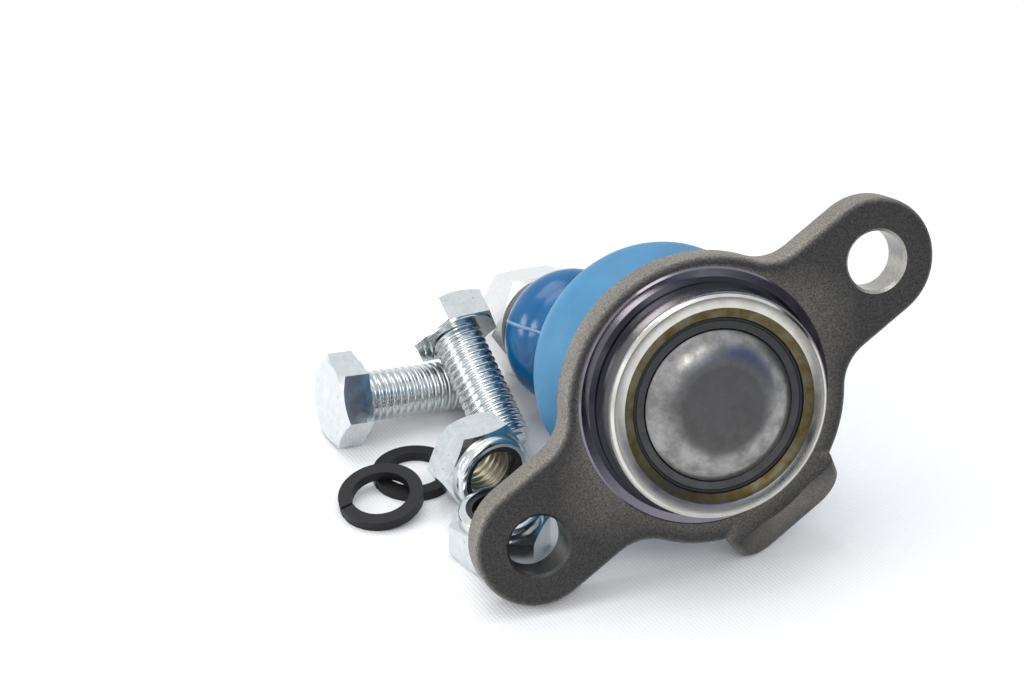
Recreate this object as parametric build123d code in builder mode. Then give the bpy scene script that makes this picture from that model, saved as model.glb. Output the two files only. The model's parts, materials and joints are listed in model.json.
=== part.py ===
"""Suspension ball joint: forged two-bolt housing, sealed ball stud and its fixing set.

Millimetres. The origin is the centre of the ball. The joint lies on a level floor, as it is
put down on a bench: the edge of one ear, the turned-back lug and the stud nut carry it.
+Z is up, the cover faces -Y and the stud runs towards +Y. Every piece of the joint is drawn
about the joint's own axis, which is +Z towards the cover, and is then laid down by one of
two placements, "laid" for what stays with the housing and "leaned" for what leans with the
stud.
"""

from build123d import *
import os
from math import asin, atan2, cos, degrees, hypot, pi, radians, sin, sqrt, tan

# ---- housing forging --------------------------------------------------------------------
plate_thickness = 8.0
bolt_spacing = 90.5
bolt_hole_radius = 6.25
bolt_hole_chamfer = 0.6
bolt_line_offset = 1.6  # the line of the bolts passes this far behind the ball, lug side
ear_radius = 13.2
body_radius = 30.4
waist_radius = 10.0  # hollow corner between an ear and the body
forged_edge = 1.6
lug_crease = 30.5  # from the ball's axis to where the lug starts to turn back
lug_angle = 38.0
lug_length = 12.4
lug_width = 27.5
lug_corner = 7.0

# ---- machined boss in front, collar behind ----------------------------------------------
machined_radius = 27.0
machined_height = 0.5
boss_radius = 23.3
boss_height = 8.7
boss_step = 0.8
boss_step_height = 2.2
boss_groove = 0.35
machined_bevel = 0.4
foot_radius = 0.9
lip_round = 0.9
lip_land = 2.0
lip_wall = 5.1  # from the boss's side to the mouth that the cover lies in
lip_slope = 0.8
lip_thickness = 1.7
collar_radius = 22.0
collar_depth = 8.5
groove_depth = 1.6
groove_width = 3.6
groove_start = 2.4

# ---- cover, spring, pad and seat --------------------------------------------------------
cover_thickness = 2.2
cover_grip = 4.0  # from the boss's side to the edge of the cover under the lip
cover_rim_gap = 0.85
cover_rim_step = 0.55
cover_shoulder = 1.85  # flat of the cover between its rim and its dome
cover_dome_height = 2.7
crown_flat = 9.0  # radius of the flat middle of the dome
cover_sheet = 2.0
cover_crease = 0.35
spring_thickness = 1.0
spring_inner_radius = 7.5
spring_room = 1.1
pad_wall = 1.5
seat_depth = 7.0
seat_split = 1.0  # height of the joint between seat and pad above the ball's centre
seat_gap = 0.4
grease_hole_radius = 2.5
throat_radius = 13.0
throat_flare = 2.0

# ---- ball stud and its nut --------------------------------------------------------------
ball_radius = 13.5
seat_wall = 2.75
neck_radius = 7.2
neck_length = 24.0
shank_radius = 9.4
shank_end = 64.5
thread_radius = 8.0
nut_start = 70.0
stud_nut_flats = 24.0
stud_nut_height = 13.0
stud_tail = 3.0
thread_chamfer = 1.2
hex_turned = 0.97  # where a hexagon's turned corners start, for one unit of half width
shank_start = 34.0
taper_step = 0.3
stud_lean = 8.9  # how far the stud leans to the side as the joint lies

# ---- dust boot and its rings ------------------------------------------------------------
boot_wall = 1.6
boot_bulge_radius = 27.5
boot_bulge_tube = 9.5
boot_bulge_at = 18.5
boot_waist_radius = 11.9
boot_waist_at = 46.5
boot_end_radius = 16.0  # the small bulge next to the nut
boot_end_tube = 7.5
boot_end_at = 57.0
boot_neck_end = 65.4
boot_neck_length = 2.2
boot_lean_start = 9.0
boot_lean_end = 42.0
sleeve_wall = 0.8
sleeve_start = 57.0
clamp_wire = 0.7
neck_wire = 0.6

# ---- fixing set that lies beside the joint ----------------------------------------------
bolt_radius = 5.85
bolt_length = 30.0
bolt_head_flats = 19.0
bolt_head_height = 6.8
bolt_washer_face = 0.4
bolt_tip_chamfer = 1.2
nut_hex_height = 8.6
nut_collar_radius = 8.8
nut_collar_height = 2.6
nut_collar_round = 1.2
nut_crimp = 0.4
insert_height = 2.2
insert_radius = 7.2
washer_outer_radius = 9.4
washer_inner_radius = 6.5
washer_thickness = 2.3
washer_split = 0.6
washer_skew = 25.0
washer_split_turn = 150.0
lower_bolt_at = (-29.9, 61.7)  # at its tip, on the floor's plan
lower_bolt_heading = 9.3
upper_bolt_at = (-29.2, 35.2)  # at its tip
upper_bolt_heading = 101.8
upper_bolt_roll = 5.9
standing_nut_at = (-39.0, 23.1)
standing_nut_heading = -73.2
flat_nut_at = (-40.2, 4.0)
flat_nut_turn = -6.0
flat_washer_at = (-51.1, 35.4)
leaning_washer_at = (-60.7, 26.6)

# ---- clearances -------------------------------------------------------------------------
running_fit = 0.05
press_gap = 0.02
clear_gap = 0.3

# ---- worked out from the sizes above ----------------------------------------------------
face = plate_thickness
machined_face = face + machined_height
lip_top = face + boss_height
lip_under = lip_top - lip_thickness
cover_seat = lip_under - cover_thickness
lip_inner_radius = boss_radius - lip_wall
cover_radius = boss_radius - cover_grip
cover_rim_radius = lip_inner_radius - cover_rim_gap
cover_dome_radius = cover_rim_radius - cover_shoulder
seat_radius = ball_radius + running_fit + seat_wall
seat_bore = seat_radius + press_gap
groove_radius = collar_radius - groove_depth
throat_mouth = throat_radius + throat_flare
dome_bore = cover_dome_radius - cover_sheet
spring_outer_radius = dome_bore - spring_room
seal_radius = (lip_inner_radius - cover_rim_radius) / 2 - press_gap
pad_shoulder = cover_seat - clear_gap
pad_foot = seat_split + seat_gap
neck_bore = shank_radius + running_fit
sleeve_radius = neck_bore + sleeve_wall
neck_outside = sleeve_radius + press_gap + boot_wall
lip_outside = groove_radius + press_gap + boot_wall
bell_mouth = collar_radius + clear_gap
stud_end = nut_start + stud_nut_height + stud_tail
hex_tip = 1 / cos(radians(30))  # corner radius of a hexagon for one unit of half width


# ---- how the joint lies -----------------------------------------------------------------
def ear_reach(roll, dip):
    """How far the ear's back edge reaches below the ball's centre."""
    along = bolt_spacing / 2 * sin(roll) + bolt_line_offset * cos(roll)
    return (along + ear_radius - forged_edge) * cos(dip) + forged_edge * (1 - sin(dip))


def lug_reach(roll, dip):
    """How far the lug's rounded corner reaches below the ball's centre."""
    turn = radians(lug_angle)
    half = plate_thickness / 2
    run = lug_length - lug_corner
    out = lug_crease + run * cos(turn) - half * sin(turn)
    height = face - run * sin(turn) - half * cos(turn)
    side = (lug_width / 2 - lug_corner) * sin(roll)
    tilt = sin(dip) * cos(turn) - cos(roll) * cos(dip) * sin(turn)
    rim = (lug_corner - forged_edge) * sqrt(1 - tilt**2) + forged_edge
    rim += (half - forged_edge) * abs(tilt)
    return (side + out * cos(roll)) * cos(dip) - height * sin(dip) + rim


def nut_reach(dip):
    """How far the far edge of the stud nut's flat reaches below the ball's centre."""
    drop = sin(dip) * cos(radians(stud_lean))
    return (nut_start + stud_nut_height) * drop + stud_nut_flats / 2 * sqrt(1 - drop**2)


def balance(difference, low, high):
    """The angle between low and high at which difference changes sign."""
    for _ in range(40):
        middle = (low + high) / 2
        if difference(low) * difference(middle) > 0:
            low = middle
        else:
            high = middle
    return middle


roll, dip = radians(30), radians(18)
for _ in range(12):
    roll = balance(lambda a: ear_reach(a, dip) - lug_reach(a, dip), 0, pi / 3)
    dip = balance(lambda a: ear_reach(roll, a) - nut_reach(a), 0, pi / 4)
floor = -ear_reach(roll, dip)

lean = radians(stud_lean)
joint_axis = Vector(0, -cos(dip), sin(dip))
laid = Plane(
    (0, 0, 0), x_dir=(cos(roll), sin(roll) * sin(dip), sin(roll) * cos(dip)), z_dir=joint_axis
).location
upright = Plane((0, 0, 0), x_dir=(1, 0, 0), z_dir=joint_axis).location
leaned = upright * Location((0, 0, 0), (0, degrees(lean), 0))


def finish(piece, name, *places):
    """Lay a piece, or each copy of it, where it belongs, name it and write it."""
    copies = [piece.part.moved(place) for place in places]
    piece.part = copies[0] if len(copies) == 1 else Compound(children=copies)
    piece.part.label = name
    export_step(piece.part, f"parts/{name}.step")


os.makedirs("parts", exist_ok=True)

# ---- housing ----------------------------------------------------------------------------
turn = radians(lug_angle)
lug_face = Plane((0, -lug_crease, face), x_dir=(1, 0, 0), z_dir=(0, -sin(turn), cos(turn)))

with BuildPart() as lug:
    with BuildSketch(Plane.YZ):
        with BuildLine():
            Polyline(
                (-body_radius / 2, face),
                (-lug_crease, face),
                (-lug_crease - lug_length * cos(turn), face - lug_length * sin(turn)),
                (
                    -lug_crease - lug_length * cos(turn) + plate_thickness * sin(turn),
                    face - lug_length * sin(turn) - plate_thickness * cos(turn),
                ),
                (-lug_crease + plate_thickness * tan(turn / 2), 0),
                (-body_radius / 2, 0),
                close=True,
            )
        make_face()
    extrude(amount=lug_width / 2, both=True)
    with BuildSketch(lug_face) as lug_plan:
        with Locations((0, -lug_length)):
            Rectangle(lug_width, 2 * lug_crease, align=(Align.CENTER, Align.MIN))
        fillet(lug_plan.vertices().group_by(Axis.Y)[0], lug_corner)
    extrude(amount=2 * body_radius, both=True, mode=Mode.INTERSECT)
    fillet(lug.faces().sort_by(Axis.Y)[0].edges(), forged_edge)

with BuildPart() as housing:
    with BuildSketch() as outline:
        with Locations((0, -bolt_line_offset)):
            Circle(body_radius)
            SlotCenterToCenter(bolt_spacing, 2 * ear_radius)
        corners = [
            v
            for v in outline.vertices()
            if abs(hypot(v.X, v.Y + bolt_line_offset) - body_radius) < 0.01
        ]
        fillet(corners, waist_radius)
    extrude(amount=face)
    rims = housing.edges().group_by(Axis.Z)
    fillet(rims[0] + rims[-1], forged_edge)
    add(lug.part)

    # the turned boss in front, the machined ring round it and the collar behind
    with BuildSketch(Plane.XZ):
        with BuildLine():
            Polyline(
                (0, -collar_depth),
                (collar_radius - 0.8, -collar_depth),
                (collar_radius, -collar_depth + 0.8),
                (collar_radius, -groove_start - groove_width),
                (groove_radius, -groove_start - groove_width),
                (groove_radius, -groove_start),
                (collar_radius, -groove_start),
                (collar_radius, forged_edge),
                (machined_radius, forged_edge),
                (machined_radius, machined_face - machined_bevel),
                (machined_radius - machined_bevel, machined_face),
                (boss_radius + boss_step + foot_radius, machined_face),
                (boss_radius + boss_step, machined_face + foot_radius),
                (boss_radius + boss_step, machined_face + boss_step_height),
                (boss_radius, machined_face + boss_step_height + boss_step / 2),
                (boss_radius, lip_top - lip_round),
                (boss_radius - boss_groove, lip_top - lip_round),
                (boss_radius - boss_groove, lip_top - lip_round + boss_groove),
                (boss_radius - lip_round, lip_top),
                (lip_inner_radius + lip_land, lip_top),
                (lip_inner_radius, lip_top - lip_slope),
                (0, lip_top - lip_slope),
                close=True,
            )
        make_face()
    revolve()

    # the bore, from the lip down to the throat that the stud leans in
    with BuildSketch(Plane.XZ):
        with BuildLine():
            Polyline(
                (0, -collar_depth),
                (throat_mouth, -collar_depth),
                (throat_radius, -seat_depth),
                (seat_bore, -seat_depth),
                (seat_bore, cover_seat),
                (cover_radius + press_gap, cover_seat),
                (cover_radius + press_gap, lip_under),
                (lip_inner_radius, lip_under),
                (lip_inner_radius, lip_top),
                (0, lip_top),
                close=True,
            )
        make_face()
    revolve(mode=Mode.SUBTRACT)

    with Locations((0, -bolt_line_offset, face)):
        with GridLocations(bolt_spacing, 0, 2, 1):
            Hole(bolt_hole_radius)
    rings = housing.edges().filter_by(GeomType.CIRCLE)
    mouths = [e for e in rings if abs(e.radius - bolt_hole_radius) < 0.01]
    chamfer(mouths, bolt_hole_chamfer)
finish(housing, "housing", laid)

# ---- cover plate, its seal and the spring under it --------------------------------------
dome_foot = lip_under + cover_rim_step
dome_top = dome_foot + cover_dome_height
ceiling = dome_top - cover_sheet
crown_run = cover_dome_radius - crown_flat
crown_arc = (crown_run**2 + cover_dome_height**2) / 2 / cover_dome_height
inner_arc = crown_arc - cover_sheet
ceiling_edge = ceiling - inner_arc + sqrt(inner_arc**2 - (dome_bore - crown_flat) ** 2)
with BuildPart() as cover_plate:
    with BuildSketch(Plane.XZ):
        with BuildLine():
            TangentArc((crown_flat, dome_top), (cover_dome_radius, dome_foot), tangent=(1, 0))
            Polyline(
                (cover_dome_radius, dome_foot),
                (cover_dome_radius, dome_foot - cover_crease),
                (cover_dome_radius + cover_crease, dome_foot),
                (cover_rim_radius, dome_foot),
                (cover_rim_radius, lip_under),
                (cover_radius, lip_under),
                (cover_radius, cover_seat),
                (dome_bore, cover_seat),
                (dome_bore, ceiling_edge),
            )
            TangentArc((crown_flat, ceiling), (dome_bore, ceiling_edge), tangent=(1, 0))
            Polyline((crown_flat, ceiling), (0, ceiling), (0, dome_top), (crown_flat, dome_top))
        make_face()
    revolve()
finish(cover_plate, "cover_plate", laid)

with BuildPart() as cover_seal:
    with BuildSketch(Plane.XZ):
        with Locations((cover_rim_radius + seal_radius + press_gap, lip_under + seal_radius)):
            Circle(seal_radius)
    revolve()
finish(cover_seal, "cover_seal", laid)

spring_foot = pad_shoulder + press_gap
spring_head = ceiling - press_gap
with BuildPart() as preload_spring:
    with BuildSketch(Plane.XZ):
        with BuildLine():
            Polyline(
                (spring_outer_radius, spring_foot),
                (spring_outer_radius, spring_foot + spring_thickness),
                (spring_inner_radius, spring_head),
                (spring_inner_radius, spring_head - spring_thickness),
                close=True,
            )
        make_face()
    revolve()
finish(preload_spring, "preload_spring", laid)

# ---- pressure pad above the ball and bearing seat below it ------------------------------
with BuildPart() as pressure_pad:
    with Locations((0, 0, pad_foot)):
        Cylinder(
            seat_radius,
            pad_shoulder - pad_foot,
            align=(Align.CENTER, Align.CENTER, Align.MIN),
        )
    Sphere(ball_radius + running_fit + pad_wall)
    split(bisect_by=Plane.XY.offset(pad_foot), keep=Keep.TOP)
    Sphere(ball_radius + running_fit, mode=Mode.SUBTRACT)
    Hole(grease_hole_radius)
finish(pressure_pad, "pressure_pad", laid)

with BuildPart() as bearing_seat:
    with Locations((0, 0, -seat_depth)):
        Cylinder(
            seat_radius,
            seat_depth + seat_split,
            align=(Align.CENTER, Align.CENTER, Align.MIN),
        )
    Sphere(ball_radius + running_fit, mode=Mode.SUBTRACT)
finish(bearing_seat, "bearing_seat", laid)

# ---- ball stud and its nut --------------------------------------------------------------
neck_foot = sqrt(ball_radius**2 - neck_radius**2)
with BuildPart() as ball_stud:
    Sphere(ball_radius)
    with BuildSketch(Plane.XZ):
        with BuildLine():
            Polyline(
                (0, 0),
                (neck_radius, -neck_foot),
                (neck_radius, -neck_length),
                (shank_radius, -shank_start),
                (shank_radius, -shank_end),
                (thread_radius + taper_step, -nut_start),
                (thread_radius, -nut_start),
                (thread_radius, -stud_end + thread_chamfer),
                (thread_radius - thread_chamfer, -stud_end),
                (0, -stud_end),
                close=True,
            )
        make_face()
    revolve()
finish(ball_stud, "ball_stud", leaned)


def hex_blank(flats, height, bottom=True):
    """A hexagon bar of this height on +Z, its corners turned back at one end or both."""
    corner = flats / 2 * hex_tip
    turned = flats / 2 * hex_turned
    cut = (corner - turned) * tan(radians(30))
    foot = 0 if bottom else -cut
    with BuildPart() as blank:
        with BuildSketch():
            RegularPolygon(flats / 2, 6, major_radius=False)
        extrude(amount=height)
        with BuildSketch(Plane.XZ):
            with BuildLine():
                Polyline(
                    (0, foot),
                    (turned, foot),
                    (corner, foot + cut),
                    (corner, height - cut),
                    (turned, height),
                    (0, height),
                    close=True,
                )
            make_face()
        revolve(mode=Mode.INTERSECT)
    return blank.part


with BuildPart() as stud_nut:
    with Locations((0, 0, -nut_start - stud_nut_height)):
        add(hex_blank(stud_nut_flats, stud_nut_height))
        Hole(thread_radius + press_gap)
finish(stud_nut, "stud_nut", leaned)

# ---- dust boot, drawn through rings that lean more and more towards the stud ------------
def bulge(station, centre, radius, tube):
    """Outside radius of a bulge of this crest and tube at a station along the boot."""
    return radius - tube + sqrt(tube**2 - (station - centre) ** 2)


lip_end = groove_start + groove_width - clear_gap
boot_rings = [
    (lip_end - boot_wall / 2, bell_mouth + 1.5 * boot_wall),
    (collar_depth, bell_mouth + 1.4 * boot_wall),
    (boot_bulge_at - 5.5, (bell_mouth + 1.4 * boot_wall + 2 * boot_bulge_radius) / 3),
    (boot_bulge_at, boot_bulge_radius),
]
for step in (4.0, 6.5, 8.4):
    ring_at = boot_bulge_at + step
    boot_rings.append((ring_at, bulge(ring_at, boot_bulge_at, boot_bulge_radius, boot_bulge_tube)))
bell_end = boot_rings[-1]
for share in (0.26, 0.52, 0.76):
    ring_at = bell_end[0] + share * (boot_waist_at - bell_end[0])
    boot_rings.append((ring_at, bell_end[1] + share * (boot_waist_radius - bell_end[1])))
boot_rings.append((boot_waist_at, boot_waist_radius))
for step in (-5.5, -3.0, 0, 3.0, 5.0):
    ring_at = boot_end_at + step
    boot_rings.append((ring_at, bulge(ring_at, boot_end_at, boot_end_radius, boot_end_tube)))
boot_rings.append((boot_neck_end - boot_neck_length, neck_outside))


def boot_circles(offset):
    """The boot's rings, each on its own leaning plane, made this much smaller."""
    for station, radius in boot_rings:
        share = (station - boot_lean_start) / (boot_lean_end - boot_lean_start)
        share = min(max(share, 0), 1)
        leaning = Plane.XY.rotated((0, share * stud_lean, 0)).offset(-station)
        with BuildSketch(leaning) as ring:
            Circle(radius - offset)
        yield ring.sketch


with BuildPart() as dust_boot:
    loft(list(boot_circles(0)))
    with Locations(Location((0, 0, 0), (0, stud_lean, 0))):
        with Locations((0, 0, -boot_neck_end)):
            Cylinder(
                neck_outside, boot_neck_length, align=(Align.CENTER, Align.CENTER, Align.MIN)
            )
            Cylinder(
                neck_outside - boot_wall,
                boot_neck_length,
                align=(Align.CENTER, Align.CENTER, Align.MIN),
                mode=Mode.SUBTRACT,
            )
    loft(list(boot_circles(boot_wall)), mode=Mode.SUBTRACT)
    with BuildSketch(Plane.XZ):
        with BuildLine():
            Polyline(
                (groove_radius + press_gap, -groove_start - clear_gap),
                (lip_outside, -groove_start - clear_gap),
                (lip_outside, -lip_end + boot_wall / 2),
                (bell_mouth + boot_wall, -lip_end + boot_wall / 2),
                (bell_mouth + boot_wall, -lip_end),
                (groove_radius + press_gap, -lip_end),
                close=True,
            )
        make_face()
    revolve()
finish(dust_boot, "dust_boot", upright)

with BuildPart() as boot_clamp_ring:
    with BuildSketch(Plane.XZ):
        clamp_at = groove_start + clear_gap + clamp_wire
        with Locations((lip_outside + press_gap + clamp_wire, -clamp_at)):
            Circle(clamp_wire)
    revolve()
finish(boot_clamp_ring, "boot_clamp_ring", laid)

with BuildPart() as neck_sleeve:
    with Locations((0, 0, -boot_neck_end)):
        Cylinder(
            sleeve_radius, boot_neck_end - sleeve_start, align=(Align.CENTER, Align.CENTER, Align.MIN)
        )
        Hole(neck_bore)
finish(neck_sleeve, "neck_sleeve", leaned)

with BuildPart() as neck_ring:
    with BuildSketch(Plane.XZ):
        with Locations((neck_outside + clear_gap + neck_wire, -boot_neck_end + neck_wire)):
            Circle(neck_wire)
    revolve()
finish(neck_ring, "neck_ring", leaned)

# ---- bolts, nuts and lock washers that lie beside the joint -----------------------------
with BuildPart() as flange_bolts:
    add(hex_blank(bolt_head_flats, bolt_head_height, bottom=False))
    Cylinder(
        bolt_head_flats / 2 * hex_turned,
        bolt_washer_face,
        align=(Align.CENTER, Align.CENTER, Align.MAX),
    )
    Cylinder(bolt_radius, bolt_length, align=(Align.CENTER, Align.CENTER, Align.MAX))
    tip = flange_bolts.edges().group_by(Axis.Z)[0]
    chamfer(tip, bolt_tip_chamfer)

# the lower bolt lies on a flat of its head and on its tip
lie = atan2(bolt_head_flats / 2 - bolt_radius, bolt_length - bolt_tip_chamfer)
lower_axis = Vector(-cos(lie), 0, sin(lie)).rotate(Axis.Z, lower_bolt_heading)


def bolt_tip(place, slope):
    """Middle of a bolt's tip when the round edge of its chamfer touches the floor."""
    return Vector(*place, floor + bolt_radius * cos(slope) - bolt_tip_chamfer * sin(slope))


lower = Plane(
    bolt_tip(lower_bolt_at, lie) + lower_axis * bolt_length,
    x_dir=(-sin(radians(lower_bolt_heading)), cos(radians(lower_bolt_heading)), 0),
    z_dir=lower_axis,
)


def upper_axis(slope):
    """The upper bolt's axis from its tip on the floor towards its head."""
    return Vector(cos(slope), 0, sin(slope)).rotate(Axis.Z, upper_bolt_heading)


def bolt_gap(slope):
    """Room between the two shanks where they cross."""
    across = lower.z_dir.cross(upper_axis(slope)).normalized()
    apart = bolt_tip(upper_bolt_at, slope) - lower.origin
    return abs(apart.dot(across)) - 2 * bolt_radius


# the upper bolt lies across the lower one's shank, its tip on the floor
slope = balance(lambda a: bolt_gap(a) - clear_gap / 2, radians(10), radians(60))
upper = Plane(
    bolt_tip(upper_bolt_at, slope) + upper_axis(slope) * bolt_length,
    x_dir=(cos(radians(upper_bolt_heading + 90)), sin(radians(upper_bolt_heading + 90)), 0),
    z_dir=upper_axis(slope),
)
upper_place = upper.location * Location((0, 0, 0), (0, 0, upper_bolt_roll))
finish(flange_bolts, "flange_bolts", lower.location, upper_place)

# ---- nuts with a plastic ring pressed into their collars --------------------------------
nut_height = nut_hex_height + nut_collar_height
insert_top = nut_height - nut_crimp
insert_foot = insert_top - insert_height
with BuildPart() as flange_nuts:
    add(hex_blank(bolt_head_flats, nut_hex_height))
    with BuildSketch(Plane.XZ) as collar:
        with Locations((0, nut_hex_height / 2)):
            Rectangle(
                nut_collar_radius, nut_height - nut_hex_height / 2, align=(Align.MIN, Align.MIN)
            )
        fillet(collar.vertices().group_by(Axis.Y)[-1].sort_by(Axis.X)[-1], nut_collar_round)
    revolve()
    Hole(bolt_radius)
    with BuildSketch(Plane.XZ):
        with BuildLine():
            Polyline(
                (0, insert_foot - press_gap),
                (insert_radius + press_gap, insert_foot - press_gap),
                (insert_radius + press_gap, insert_top + press_gap),
                (nut_collar_radius - nut_collar_round - nut_crimp, insert_top + press_gap),
                (nut_collar_radius - nut_collar_round - nut_crimp, nut_height),
                (0, nut_height),
                close=True,
            )
        make_face()
    revolve(mode=Mode.SUBTRACT)

with BuildPart() as nut_inserts:
    with Locations((0, 0, insert_foot)):
        Cylinder(insert_radius, insert_height, align=(Align.CENTER, Align.CENTER, Align.MIN))
    Hole(bolt_radius)

# one nut stands on a flat with its collar forward, the other lies collar up
standing = Plane(
    (*standing_nut_at, floor + bolt_head_flats / 2),
    x_dir=Vector(0, 1, 0).rotate(Axis.Z, standing_nut_heading),
    z_dir=Vector(1, 0, 0).rotate(Axis.Z, standing_nut_heading),
)
flat = Plane((*flat_nut_at, floor)).rotated((0, 0, flat_nut_turn))
nut_places = (standing.offset(-nut_height / 2).location, flat.location)
finish(flange_nuts, "flange_nuts", *nut_places)
finish(nut_inserts, "nut_inserts", *nut_places)

# ---- split lock washers, one of them leaning on the other -------------------------------
with BuildPart() as lock_washers:
    Cylinder(washer_outer_radius, washer_thickness, align=(Align.CENTER, Align.CENTER, Align.MIN))
    Hole(washer_inner_radius)
    with Locations(Location((washer_outer_radius, 0, washer_thickness / 2), (washer_skew, 0, 0))):
        Box(2 * washer_inner_radius, washer_split, 4 * washer_thickness, mode=Mode.SUBTRACT)

flat_washer = Vector(*flat_washer_at, floor)
leaning_foot = Vector(*leaning_washer_at, floor)
towards = (flat_washer - leaning_foot).normalized()
reach = (flat_washer - leaning_foot).length
split_turn = Location((0, 0, 0), (0, 0, washer_split_turn))
rise = asin((washer_thickness + press_gap) / reach)
leaning = Plane(
    leaning_foot + Vector(0, 0, washer_outer_radius * sin(rise)),
    x_dir=towards * cos(rise) + Vector(0, 0, sin(rise)),
    z_dir=towards * -sin(rise) + Vector(0, 0, cos(rise)),
)
lain = Plane(flat_washer, x_dir=towards).location
finish(lock_washers, "lock_washers", lain * split_turn, leaning.location * split_turn)
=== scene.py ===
import json
import math

import bmesh
import bpy
import numpy as np
from bpy.props import FloatProperty, FloatVectorProperty, IntProperty, PointerProperty
from mathutils import Matrix, Vector


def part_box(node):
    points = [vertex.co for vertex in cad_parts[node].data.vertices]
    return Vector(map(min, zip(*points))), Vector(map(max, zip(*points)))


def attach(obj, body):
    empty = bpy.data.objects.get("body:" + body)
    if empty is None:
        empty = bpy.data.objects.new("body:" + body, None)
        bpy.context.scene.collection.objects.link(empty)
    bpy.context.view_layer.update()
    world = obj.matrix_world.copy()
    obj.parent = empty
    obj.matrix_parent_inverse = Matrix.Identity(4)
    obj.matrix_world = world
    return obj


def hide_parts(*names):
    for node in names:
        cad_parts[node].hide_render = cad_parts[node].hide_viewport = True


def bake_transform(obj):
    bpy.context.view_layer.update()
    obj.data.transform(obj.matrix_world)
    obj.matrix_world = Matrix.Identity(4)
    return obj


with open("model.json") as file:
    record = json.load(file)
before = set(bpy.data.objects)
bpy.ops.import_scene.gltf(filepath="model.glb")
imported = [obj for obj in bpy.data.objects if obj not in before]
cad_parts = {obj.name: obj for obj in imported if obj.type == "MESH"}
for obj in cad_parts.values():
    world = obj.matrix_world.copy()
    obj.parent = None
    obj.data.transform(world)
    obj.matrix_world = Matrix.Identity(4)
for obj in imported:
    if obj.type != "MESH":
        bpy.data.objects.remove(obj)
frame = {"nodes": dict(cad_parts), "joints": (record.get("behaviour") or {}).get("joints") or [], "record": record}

bl_info = {
    "name": "Suspension ball joint dressing",
    "version": (1, 0, 0),
    "blender": (4, 5, 0),
    "location": "3D View > Sidebar > Ball Joint",
    "description": "Finishes the forged housing, boot, stud and fixings of a ball joint",
    "category": "Object",
}

MM = 0.001
MERGE = 2e-6  # metres: corners of the CAD's loose triangles that are one point
FREE = 999.0  # millimetres: a bound that leaves its side open

# ---- how the joint lies, in the frame's axes ---------------------------------------------
JOINTS = {j["name"]: j for j in frame["joints"]}
MOUNTS = {m["name"]: m for m in frame["record"]["mounts"]}
AXIS = Vector(JOINTS["lean_heading"]["axis"]).normalized()
STUD_AXIS = Vector(JOINTS["stud_spin"]["axis"]).normalized()
LEAN = AXIS.angle(STUD_AXIS)
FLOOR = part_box("flange_bolts")[0].z


def placed(origin, along, across):
    """A placement whose +Z runs along one direction and whose +X is the nearest to another."""
    z = Vector(along).normalized()
    x = Vector(across)
    x = (x - z * x.dot(z)).normalized()
    m = Matrix((x, z.cross(x), z)).transposed().to_4x4()
    m.translation = Vector(origin)
    return m


SEAT = Vector(MOUNTS["machined_seat"]["pos_m"])
UPRIGHT = placed((0, 0, 0), AXIS, (1, 0, 0))
LAID = placed((0, 0, 0), AXIS, SEAT - AXIS * SEAT.dot(AXIS))
STUD = placed((0, 0, 0), STUD_AXIS, UPRIGHT.to_3x3() @ Vector((1, 0, 0)))


def linear(code):
    """A written sRGB colour as the linear one that shaders use."""
    out = []
    for i in (1, 3, 5):
        c = int(code[i:i + 2], 16) / 255
        out.append(c / 12.92 if c <= 0.04045 else ((c + 0.055) / 1.055) ** 2.4)
    return (*out, 1.0)


def colour(name, code, text):
    """A colour that the panel shows, with its default as a written sRGB code."""
    return FloatVectorProperty(
        name=name, description=text, subtype="COLOR", size=4, min=0, max=1, default=linear(code)
    )


def length(name, mm, text):
    """A length that the panel shows, in metres, with its default in millimetres."""
    return FloatProperty(
        name=name, description=text, subtype="DISTANCE", unit="LENGTH", precision=5,
        min=0, default=mm * MM,
    )


class JointLook(bpy.types.PropertyGroup):
    """Colours and fine sizes of the ball joint's finish"""

    forging_dark: colour("Forging", "#343332", "Shot-blasted skin of the forged housing")
    # lighter tone of the side walls: partly the die's scraping, partly a painted highlight
    forging_light: colour("Forging edge", "#8a847b", "Lighter side walls of the forged housing")
    ring: colour("Machined ring", "#7d7a84", "Turned ring round the boss")
    boss: colour("Boss", "#d6d5d0", "Turned wall of the boss")
    lip: colour("Lip", "#66624f", "Stained lip that holds the cover")
    cover: colour("Cover", "#7c7b79", "Pressed steel cover")
    boot_deep: colour("Boot", "#01588a", "Glossy part of the boot next to the nut")
    boot_pale: colour("Boot haze", "#3f7fa6", "Hazy bell of the boot next to the housing")
    zinc: colour("Zinc", "#dde1e1", "Plating of bolts and nuts")
    black: colour("Black oxide", "#121012", "Split lock washers")
    cloth: colour("Floor", "#f3f3f4", "Pale woven cloth that the joint lies on")
    thread_pitch: length("Thread pitch", 1.75, "Pitch of the bolts and nuts")
    thread_depth: length("Thread depth", 0.95, "Depth of the bolts' thread")
    boot_bead: length("Boot bead", 0.55, "Height of the bead round the boot")
    boot_seam: length("Boot seam", 0.16, "Height of the mould line along the boot")
    boot_segments: IntProperty(
        name="Boot segments", description="Steps round the boot", min=48, max=512, default=192
    )


def look():
    """The colours and sizes that the panel shows."""
    return bpy.context.scene.joint_look


# ---- meshes -----------------------------------------------------------------------------
def link(name, mesh):
    """A new object for a mesh, in the scene."""
    piece = bpy.data.objects.new(name, mesh)
    bpy.context.scene.collection.objects.link(piece)
    return piece


def smooth(mesh, sharp):
    """Smooth shading that breaks at edges over an angle in degrees."""
    mesh.polygons.foreach_set("use_smooth", [True] * len(mesh.polygons))
    mesh.set_sharp_from_angle(angle=math.radians(sharp))
    mesh.update()


def read(items, key):
    """A vector of every face or vertex, one to a row."""
    flat = np.zeros(len(items) * 3)
    items.foreach_get(key, flat)
    return flat.reshape(-1, 3)


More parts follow.
